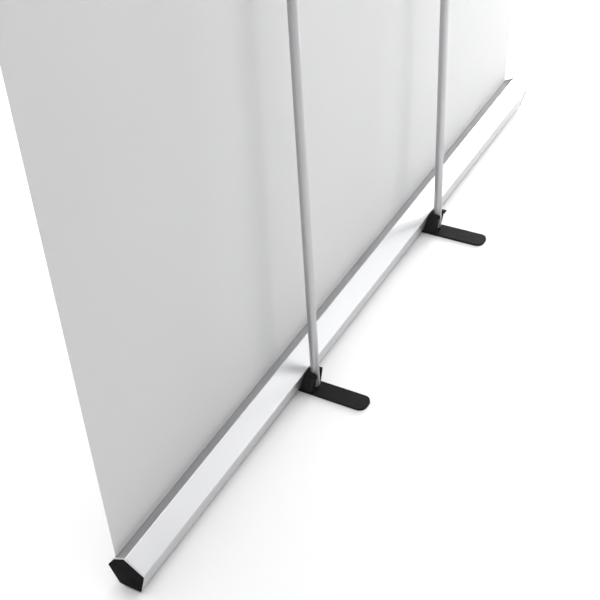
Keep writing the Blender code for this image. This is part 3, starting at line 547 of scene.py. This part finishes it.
def vary(tree, low, high, factor):
    """A number that moves between two values over the surface."""
    node = add(tree, "ShaderNodeMapRange", {"Value": factor, "To Min": low, "To Max": high})
    return node.outputs[0]


def tint(tree, low, high, factor):
    """A colour that moves between two colours over the surface."""
    node = add(tree, "ShaderNodeMix", {"Factor": factor}, data_type="RGBA")
    node.inputs["A"].default_value = (*low, 1.0)
    node.inputs["B"].default_value = (*high, 1.0)
    return node.outputs["Result"]


def bump(tree, height, strength, distance, under=None):
    """A bump, on top of another one if that is given."""
    inputs = {"Height": height, "Strength": strength, "Distance": distance}
    if under is not None:
        inputs["Normal"] = under
    return add(tree, "ShaderNodeBump", inputs).outputs["Normal"]


print("helpers:", ", ".join(helper.__name__ for helper in (start_finish, vary, tint, bump)))

# %% [markdown]
# ## Satin anodised aluminium
# The case, the rail and the tubes are the same alloy: extruded or drawn, etched to a satin, then
# anodised clear. It is a bright grey metal with very faint lines along the profile. The tubes are
# drawn, so they are a little darker and duller than the case, and their lines lie along the leaning
# pole. One function makes both, and a Mapping node stretches the pattern along the piece.

# %% Anodised aluminium, with its lines along a given direction
LINE_DARK, LINE_LIGHT = (0.965, 0.97, 0.985), (1.0, 1.005, 1.02)  # shares of the grey
SMUDGE_DULLS, SCUFF_DULLS = 0.05, 0.2  # added to the roughness
ETCHED = (0.06, 0.00005)  # strength and depth of a bump
DRAWN = (0.10, 0.00004)


def anodised(name, turn, stretch, roughness, spacing, grey):
    """Etched and anodised metal of a given grey, its die lines turned and stretched."""
    finish, tree, shader, coordinates = start_finish(name, metallic=1.0, IOR=1.45)
    along = add(
        tree, "ShaderNodeMapping", {"Vector": coordinates, "Rotation": turn, "Scale": stretch}
    )
    lines = use(tree, "die_lines", Vector=along.outputs["Vector"], Spacing=spacing, Contrast=0.9)
    grain = use(tree, "fine_grain", Vector=coordinates, Size=0.00035, Patch=0.15)
    marks = use(tree, "handling", Vector=coordinates, Size=0.09, Scuffs=0.35)
    dark, light = (tuple(grey * share for share in tone) for tone in (LINE_DARK, LINE_LIGHT))
    colour = tint(tree, dark, light, lines.outputs["Lines"])
    tree.links.new(colour, shader.inputs["Base Color"])
    smear = add(
        tree,
        "ShaderNodeMath",
        {0: marks.outputs["Smudges"], 1: SMUDGE_DULLS, 2: roughness},
        operation="MULTIPLY_ADD",
    )
    worn = add(
        tree,
        "ShaderNodeMath",
        {0: marks.outputs["Scuffs"], 1: SCUFF_DULLS, 2: smear.outputs[0]},
        operation="MULTIPLY_ADD",
    )
    tree.links.new(worn.outputs[0], shader.inputs["Roughness"])
    etched = bump(tree, grain.outputs["Height"], *ETCHED)
    drawn = bump(tree, lines.outputs["Lines"], *DRAWN, etched)
    tree.links.new(drawn, shader.inputs["Normal"])
    return finish


ALONG = 0.0015  # a pattern is stretched to this share of its frequency along the piece
CASE_FINISH = anodised(
    "anodised_case", (0, 0, 0), (ALONG, 1, 1), roughness=0.37, spacing=0.0016, grey=0.61
)
TUBE_FINISH = anodised(
    "anodised_tube", (POLE_LEAN, 0, 0), (1, 1, ALONG), roughness=0.42, spacing=0.0009, grey=0.50
)
print("finishes:", CASE_FINISH.name, TUBE_FINISH.name)

# %% [markdown]
# ## Black mouldings
# Feet, end caps, collars and hooks are black polypropylene or nylon. The mould gives a fine even
# grain, so highlights are broad and soft, with a few paler scuffs where hands have been. The end
# caps come from a finer and duller mould than the feet. The same graph in other colours gives the
# grey bearings, the rubber pads and the silver paint on the caps' rims.

# %% Moulded plastic and rubber
SCUFF_GAIN, SCUFF_BASE = 2.2, 0.02  # a scuff is this much paler than the plastic
SMUDGE_ROUGHENS = 0.10
GRAIN_STRENGTH = 0.5


def moulded(name, low, high, roughness, grain_size, depth, gloss=0.5):
    """A plastic between two colours, with a mould grain of a given size and depth in metres."""
    finish, tree, shader, coordinates = start_finish(name, Specular_IOR_Level=gloss)
    grain = use(tree, "fine_grain", Vector=coordinates, Size=grain_size, Patch=0.03)
    marks = use(tree, "handling", Vector=coordinates, Size=0.04, Scuffs=0.8)
    base = tint(tree, low, high, grain.outputs["Patches"])
    pale = [min(1.0, value * SCUFF_GAIN + SCUFF_BASE) for value in high]
    scuffed = add(
        tree,
        "ShaderNodeMix",
        {"Factor": marks.outputs["Scuffs"], "A": base, "B": (*pale, 1.0)},
        data_type="RGBA",
    )
    tree.links.new(scuffed.outputs["Result"], shader.inputs["Base Color"])
    rough = vary(tree, roughness, roughness + SMUDGE_ROUGHENS, marks.outputs["Smudges"])
    tree.links.new(rough, shader.inputs["Roughness"])
    grained = bump(tree, grain.outputs["Height"], GRAIN_STRENGTH, depth)
    tree.links.new(grained, shader.inputs["Normal"])
    return finish


NYLON = ((0.006, 0.006, 0.0065), (0.010, 0.010, 0.0105))
CAP_PLASTIC = ((0.003, 0.003, 0.0033), (0.005, 0.005, 0.0053))
SILVER_PAINT = ((0.50, 0.505, 0.51), (0.54, 0.545, 0.55))
ACETAL = ((0.30, 0.31, 0.32), (0.36, 0.37, 0.38))
RUBBER = ((0.014, 0.014, 0.014), (0.022, 0.022, 0.022))

BLACK_FINISH = moulded("black_nylon", *NYLON, 0.48, 0.0006, 0.00008, gloss=0.18)
CAP_FINISH = moulded("black_cap", *CAP_PLASTIC, 0.50, 0.0004, 0.00005, gloss=0.03)
RIM_FINISH = moulded("silver_rim", *SILVER_PAINT, 0.40, 0.0004, 0.00003)
GREY_FINISH = moulded("grey_acetal", *ACETAL, 0.38, 0.0004, 0.00004)
RUBBER_FINISH = moulded("rubber_pad", *RUBBER, 0.75, 0.0007, 0.00010, gloss=0.3)
MOULDED = (BLACK_FINISH, CAP_FINISH, RIM_FINISH, GREY_FINISH, RUBBER_FINISH)
print("finishes:", ", ".join(finish.name for finish in MOULDED))

# %% [markdown]
# ## Zinc-plated steel
# Screws, axles and nut plates are mild steel with a thin zinc plating: slightly warm and cloudy
# where the plating crystals catch the light.

# %% Zinc plating
ZINC_DARK, ZINC_LIGHT = (0.56, 0.56, 0.54), (0.72, 0.72, 0.70)

ZINC_FINISH, tree, shader, coordinates = start_finish("zinc_plate", metallic=1.0)
grain = use(tree, "fine_grain", Vector=coordinates, Size=0.0004, Patch=0.003)
tree.links.new(
    tint(tree, ZINC_DARK, ZINC_LIGHT, grain.outputs["Patches"]), shader.inputs["Base Color"]
)
tree.links.new(vary(tree, 0.24, 0.42, grain.outputs["Patches"]), shader.inputs["Roughness"])
tree.links.new(bump(tree, grain.outputs["Height"], 0.3, 0.00004), shader.inputs["Normal"])
print("finish:", ZINC_FINISH.name)

# %% [markdown]
# ## Banner film
# The sheet is a matt polyester film with a pale back. It hangs flat under the roller's pull, so
# what shows is mostly light falling off across it. Very slight clouds in the coating and a shallow
# orange-peel texture keep it from looking like paper. The strip of leader film that joins it to
# the roller is thinner and a little glossier.

# %% Films


def film(name, low, high, roughness, peel):
    """A plastic film between two colours, with an orange-peel texture of a given size."""
    finish, tree, shader, coordinates = start_finish(name, IOR=1.5)
    grain = use(tree, "fine_grain", Vector=coordinates, Size=peel, Patch=0.45)
    marks = use(tree, "handling", Vector=coordinates, Size=0.35, Scuffs=0.1)
    tree.links.new(tint(tree, low, high, grain.outputs["Patches"]), shader.inputs["Base Color"])
    rough = vary(tree, roughness, roughness + 0.06, marks.outputs["Smudges"])
    tree.links.new(rough, shader.inputs["Roughness"])
    tree.links.new(bump(tree, grain.outputs["Height"], 0.15, 0.00006), shader.inputs["Normal"])
    return finish


MATT_BACK = ((0.605, 0.607, 0.61), (0.63, 0.632, 0.635))
LEADER = ((0.70, 0.71, 0.70), (0.75, 0.76, 0.75))

SHEET_FINISH = film("banner_film", *MATT_BACK, roughness=0.55, peel=0.0012)
LEADER_FINISH = film("leader_film", *LEADER, roughness=0.35, peel=0.0010)
print("finishes:", SHEET_FINISH.name, LEADER_FINISH.name)

# %% [markdown]
# ## The studio floor
# The floor is seamless white paper: nearly white, quite rough, with a faint tooth.

# %% Floor paper
PAPER_DARK, PAPER_LIGHT = (0.90, 0.90, 0.90), (0.92, 0.92, 0.92)

FLOOR_FINISH, tree, shader, coordinates = start_finish("floor_paper", Specular_IOR_Level=0.2)
grain = use(tree, "fine_grain", Vector=coordinates, Size=0.002, Patch=0.8)
tree.links.new(
    tint(tree, PAPER_DARK, PAPER_LIGHT, grain.outputs["Patches"]), shader.inputs["Base Color"]
)
tree.links.new(vary(tree, 0.85, 0.95, grain.outputs["Patches"]), shader.inputs["Roughness"])
floor.data.materials.append(FLOOR_FINISH)
print("floor:", FLOOR_FINISH.name)

# %% [markdown]
# ## The sheet
# The banner is film 1.5 m wide, 0.4 mm thick with its print, held by the clamp rail above and
# pulled down by the roller. It could be one flat box, but stretched film is never quite flat: its
# side edges curl by a hair and the field has long shallow swells. They stay under 0.2 mm, because
# the whole sheet has to pass through the rail's slot when it flattens under the lowered rail. A
# fine grid is stood up on the slit's line, its points are moved a little along the sheet's back,
# and Solidify gives both faces their thickness.

# %% Model the sheet
GRID_ACROSS, GRID_UP = 60, 80
EDGE_CURL = 0.00015
SWELL = 0.00015
CURL_POWER = 10  # high, so that only the last centimetres curl
HELD_POWER = 0.7  # how soon the sheet comes free above the slit and below the rail

only()
bpy.ops.mesh.primitive_grid_add(
    x_subdivisions=GRID_ACROSS, y_subdivisions=GRID_UP, size=1.0, location=(0, 0, 0)
)
banner = bpy.context.object
banner.name = "banner"
banner.scale = (SHEET_W, SHEET_L, 1)
settle(banner)
for point in banner.data.vertices:
    across = point.co.x / (SHEET_W / 2)
    up = point.co.y / SHEET_L + 0.5
    free = math.sin(math.pi * up) ** HELD_POWER if 0 < up < 1 else 0.0
    # two slanting waves, each less than one full turn over the sheet
    swell = math.sin(2.3 * across + 4.1 * up) * math.cos(3.2 * up - 0.8 * across)
    point.co.z = free * (SWELL * swell + EDGE_CURL * abs(across) ** CURL_POWER)
stand_up = Matrix.Translation(SHEET_EDGE + SHEET_UP * SHEET_L / 2) @ Matrix.Rotation(
    math.pi / 2 - SHEET_LEAN, 4, "X"
)
settle(banner, stand_up)
modify(banner, "SOLIDIFY", thickness=SHEET_T, offset=0.0, use_even_offset=True)
edit(banner)
bpy.ops.mesh.select_all(action="SELECT")
bpy.ops.mesh.normals_make_consistent(inside=False)
leave()
smooth(banner)
low = min(point.co.z for point in banner.data.vertices)
high = max(point.co.z for point in banner.data.vertices)
print(f"banner: {len(banner.data.polygons)} faces, from {low:.4f} to {high:.4f} m")

# %% [markdown]
# ## Hanging the sheet
# The sheet rides on the case and can't follow the rail rigidly, because the roller swallows it. It
# joins the body of its imported piece and gets a mesh of its own.

# %% Hang the sheet
take_over(banner, "banner_sheet", SHEET_FINISH)
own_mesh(banner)

# %% [markdown]
# ## The tubes
# Each pole is two drawn aluminium tubes, and the upper one slides in the lower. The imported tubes
# have 28 sides, which show as stripes in a polished wall, so both are modelled again: a cylinder
# with 72 sides gets its two end faces inset by the wall, the discs inside are deleted, and the two
# rims that are left are bridged to make the bore. A spun profile would give the same tube, but then
# its first and last column have to be welded.

# %% Measure a packed tube along its pole


def measure_tube(node):
    """Radius, both ends along the pole's line, and where that line meets the floor."""
    low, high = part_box(node)
    sine, cosine = math.sin(POLE_LEAN), math.cos(POLE_LEAN)
    radius = (high.x - low.x) / 2
    start = (low.z + radius * sine) / cosine
    end = (high.z - radius * sine) / cosine
    ground = Vector(((low.x + high.x) / 2, low.y - start * sine + radius * cosine, 0))
    return radius, start, end, ground


def on_pole(ground):
    """From upright at the origin to leaning on a pole's line."""
    return Matrix.Translation(ground) @ Matrix.Rotation(-POLE_LEAN, 4, "X")


for node in ("pole_lower_right", "pole_upper_right"):
    radius, start, end, ground = measure_tube(node)
    print(f"{node}: {2000 * radius:.1f} mm across, from {start:.3f} to {end:.3f} m along the pole")

# %% Model the tubes
TUBE_SIDES = 72
LOWER_WALL, UPPER_WALL = 0.0013, 0.0010
RIM_EDGE = 0.00025
RIM_CORNER = math.radians(60)


def open_tube(name, radius, wall, start, end):
    """A tube on the upright axis, bored right through, with its rims eased."""
    only()
    bpy.ops.mesh.primitive_cylinder_add(
        vertices=TUBE_SIDES, radius=radius, depth=end - start, location=(0, 0, (start + end) / 2)
    )
    tube = bpy.context.object
    tube.name = name
    settle(tube)
    edit(tube)
    pick(tube, lambda centre, normal: abs(normal.z) > UPRIGHT)
    bpy.ops.mesh.inset(thickness=wall)
    bpy.ops.mesh.delete(type="FACE")
    bpy.ops.mesh.select_mode(type="EDGE")
    bpy.ops.mesh.select_all(action="DESELECT")
    bpy.ops.mesh.select_non_manifold()
    bpy.ops.mesh.bridge_edge_loops()
    bpy.ops.mesh.select_all(action="SELECT")
    bpy.ops.mesh.normals_make_consistent(inside=False)
    leave()
    modify(
        tube, "BEVEL", width=RIM_EDGE, segments=2, limit_method="ANGLE", angle_limit=RIM_CORNER
    )
    return tube


for side in SIDES:
    for part, wall in (("lower", LOWER_WALL), ("upper", UPPER_WALL)):
        node = f"pole_{part}_{side}"
        radius, start, end, ground = measure_tube(node)
        tube = open_tube(f"{part}_tube_{side}", radius, wall, start, end)
        settle(tube, on_pole(ground))
        take_over(smooth(tube), node, TUBE_FINISH)
print("tubes:", {name: faces for name, faces in MADE.items() if "tube" in name})

# %% [markdown]
# ## Grip ribs on the feet
# The upper face of each foot carries two short rows of low ribs, moulded with it. One bar is a box
# with its top edges bevelled. An array repeats it within a row, and a second array repeats the row.

# %% Model the ribs
RIB_W, RIB_T, RIB_H = 0.0100, 0.0009, 0.0004
RIB_SUNK = 0.0001  # into the plate
RIB_EDGE = 0.00022
UNDER_CASE = 0.0003  # the case's base stands this far above the plate
RIB_PITCH, ROW_PITCH = 0.0032, 0.0210
RIBS_IN_ROW, ROWS = 5, 2
RIB_BACK = 0.016  # from the foot's tip to the last rib
TOP_EDGES = 0.4 * RIB_H  # the top edges of a rib that is centred on the floor are above this


def foot_ribs(side):
    """Two rows of ribs on one foot; gives the number of their faces."""
    low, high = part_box(f"foot_{side}")
    plate_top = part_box("case_extrusion")[0].z - UNDER_CASE
    only()
    bpy.ops.mesh.primitive_cube_add(size=1.0, location=(0, 0, 0))
    ribs = bpy.context.object
    ribs.name = f"foot_ribs_{side}"
    ribs.scale = (RIB_W, RIB_T, RIB_H)
    settle(ribs)
    edit(ribs, "EDGE")
    pick(ribs, lambda centre, way: centre.z > TOP_EDGES, "EDGE")
    bpy.ops.mesh.bevel(offset=RIB_EDGE, segments=3)
    leave()
    for count, pitch in ((RIBS_IN_ROW, RIB_PITCH), (ROWS, ROW_PITCH)):
        modify(
            ribs,
            "ARRAY",
            count=count,
            use_relative_offset=False,
            use_constant_offset=True,
            constant_offset_displace=(0, -pitch, 0),
        )
    middle = (low.x + high.x) / 2
    settle(ribs, Matrix.Translation((middle, high.y - RIB_BACK, plate_top + RIB_H / 2 - RIB_SUNK)))
    smooth(ribs)
    ribs.data.materials.append(BLACK_FINISH)
    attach(ribs, "cassette")
    return len(ribs.data.polygons)


print("faces of the ribs:", [foot_ribs(side) for side in SIDES])

# %% [markdown]
# ## The ears of the feet
# The socket block of a foot reaches round the pole with an ear on each side, and the outer rear
# corner of each ear is well rounded. The crown of the block is many narrow faces, so an edge bevel
# of that size would run across them. A cutter does it instead: a box over the corner, less a
# cylinder, leaning back as the block's rear face does.

# %% Round the ears of a foot
EAR_ROUND = 0.0075
EAR_ABOVE = 0.02  # a block's upright edges have their middles above this
BLOCK_REAR = -0.04  # and its rear ones behind this
EAR_OUTSIDE = 0.0165  # and its outer ones this far from the foot's middle line
CUTTER_OVER = 0.002  # the cutter stands this far outside the block
CUTTER_UP = 0.0001  # and this far clear of the plate


def round_ears(foot):
    """Rounds the two rear corners of the socket block, which lean back with its rear face."""
    middle = sum((corner[0] for corner in foot.bound_box), 0.0) / 8
    edit(foot, "EDGE")
    pick(
        foot,
        lambda centre, way: abs(way.z) > UPRIGHT
        and centre.z > EAR_ABOVE
        and centre.y > BLOCK_REAR
        and abs(centre.x - middle) > EAR_OUTSIDE,
        "EDGE",
    )
    mesh = bmesh.from_edit_mesh(foot.data)
    corners = [
        sorted((vert.co.copy() for vert in edge.verts), key=lambda point: point.z)
        for edge in mesh.edges
        if edge.select
    ]
    leave()
    for base, head in corners:
        outward = math.copysign(1, base.x - middle)
        lean = (head.y - base.y) / (head.z - base.z)
        tall = 1.5 * (head.z - base.z)  # well past the top of the block
        axis_x, axis_y = base.x - outward * EAR_ROUND, base.y - EAR_ROUND
        wide = EAR_ROUND + CUTTER_OVER
        only()
        bpy.ops.mesh.primitive_cube_add(
            size=1.0,
            location=(
                axis_x + outward * wide / 2,
                axis_y + wide / 2,
                base.z + CUTTER_UP + tall / 2,
            ),
        )
        cutter = bpy.context.object
        cutter.scale = (wide, wide, tall)
        settle(cutter)
        only()
        bpy.ops.mesh.primitive_cylinder_add(
            vertices=48, radius=EAR_ROUND, depth=4 * tall, location=(axis_x, axis_y, base.z)
        )
        core = bpy.context.object
        settle(core)
        modify(cutter, "BOOLEAN", operation="DIFFERENCE", object=core, solver="EXACT")
        for point in cutter.data.vertices:
            point.co.y += lean * (point.co.z - base.z)
        modify(foot, "BOOLEAN", operation="DIFFERENCE", object=cutter, solver="EXACT")
        for tool in (cutter, core):
            bpy.data.objects.remove(tool, do_unlink=True)
    print(f"{foot.name}: {len(corners)} corners rounded, {len(foot.data.polygons)} faces")


# %% [markdown]
# ## Case, rail and mouldings
# The extrusions get edges of 0.25 mm or less, and the mouldings between 0.3 and 0.6 mm. The table
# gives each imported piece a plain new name, its rounding, its finish and, for the feet, the shaping
# step above.

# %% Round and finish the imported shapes
ROUNDED = {
    "case_extrusion": ("case_profile", 0.00025, CASE_FINISH),
    "top_rail": ("top_rail_profile", 0.0002, CASE_FINISH),
    "top_rail_clamp": ("clamp_profile", 0.0002, CASE_FINISH),
}
for side in SIDES:
    ROUNDED[f"end_cap_{side}"] = (f"case_end_moulding_{side}", 0.0005, CAP_FINISH)
    ROUNDED[f"top_rail_cap_{side}"] = (f"rail_end_moulding_{side}", 0.0004, BLACK_FINISH)
    ROUNDED[f"foot_{side}"] = (f"foot_moulding_{side}", 0.0006, BLACK_FINISH, round_ears)
    ROUNDED[f"pole_hook_{side}"] = (f"pole_head_{side}", 0.0004, BLACK_FINISH)
    ROUNDED[f"lock_sleeve_{side}"] = (f"pole_collar_{side}", 0.0003, BLACK_FINISH)
    ROUNDED[f"lock_nut_{side}"] = (f"pole_nut_{side}", 0.0004, BLACK_FINISH)
    ROUNDED[f"pole_foot_plug_{side}"] = (f"tube_plug_{side}", 0.0003, BLACK_FINISH)
    ROUNDED[f"foot_pad_{side}_front"] = (f"floor_pad_{side}_front", 0.0003, RUBBER_FINISH)
    ROUNDED[f"foot_pad_{side}_rear"] = (f"floor_pad_{side}_rear", 0.0003, RUBBER_FINISH)
for node, (name, width, finish, *shape) in ROUNDED.items():
    take_over(rounded_copy(node, name, width, *shape), node, finish)
print({name: MADE[name] for name in sorted(MADE)})

# %% [markdown]
# ## The silver rim of the end caps
# The black face of an end cap is framed by its own rim, which is painted to match the case. The
# rim is picked by where its faces are and which way they look, and wears a second material.

# %% Paint the rims
CASE_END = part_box("case_extrusion")[1].x
FACING_OUT = 0.8  # faces that look along the case more than this belong to the black face

for side in SIDES:
    cap = bpy.data.objects[f"case_end_moulding_{side}"]
    cap.data.materials.append(RIM_FINISH)
    for face in cap.data.polygons:
        outer = abs(face.center.x) > CASE_END
        face.material_index = 1 if outer and abs(face.normal.x) < FACING_OUT else 0
    print(cap.name, "rim faces:", sum(face.material_index for face in cap.data.polygons))

# %% [markdown]
# ## The hidden pieces
# The roller, its plugs, axles and spring, the leader film, the poles' glides, the nut plates and
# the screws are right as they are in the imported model, so they only change their material.

# %% Finish the pieces that stay
STAYS = {
    "satin_aluminium": TUBE_FINISH,
    "grey_plastic": GREY_FINISH,
    "zinc_steel": ZINC_FINISH,
    "leader_film": LEADER_FINISH,
}
kept = [node for node, piece in frame["nodes"].items() if not piece.hide_render]
for node in kept:
    piece = frame["nodes"][node]
    piece.data.materials.clear()
    piece.data.materials.append(STAYS[FACTS[node]["material_slot"]])
print(f"{len(kept)} packed pieces keep their own mesh")
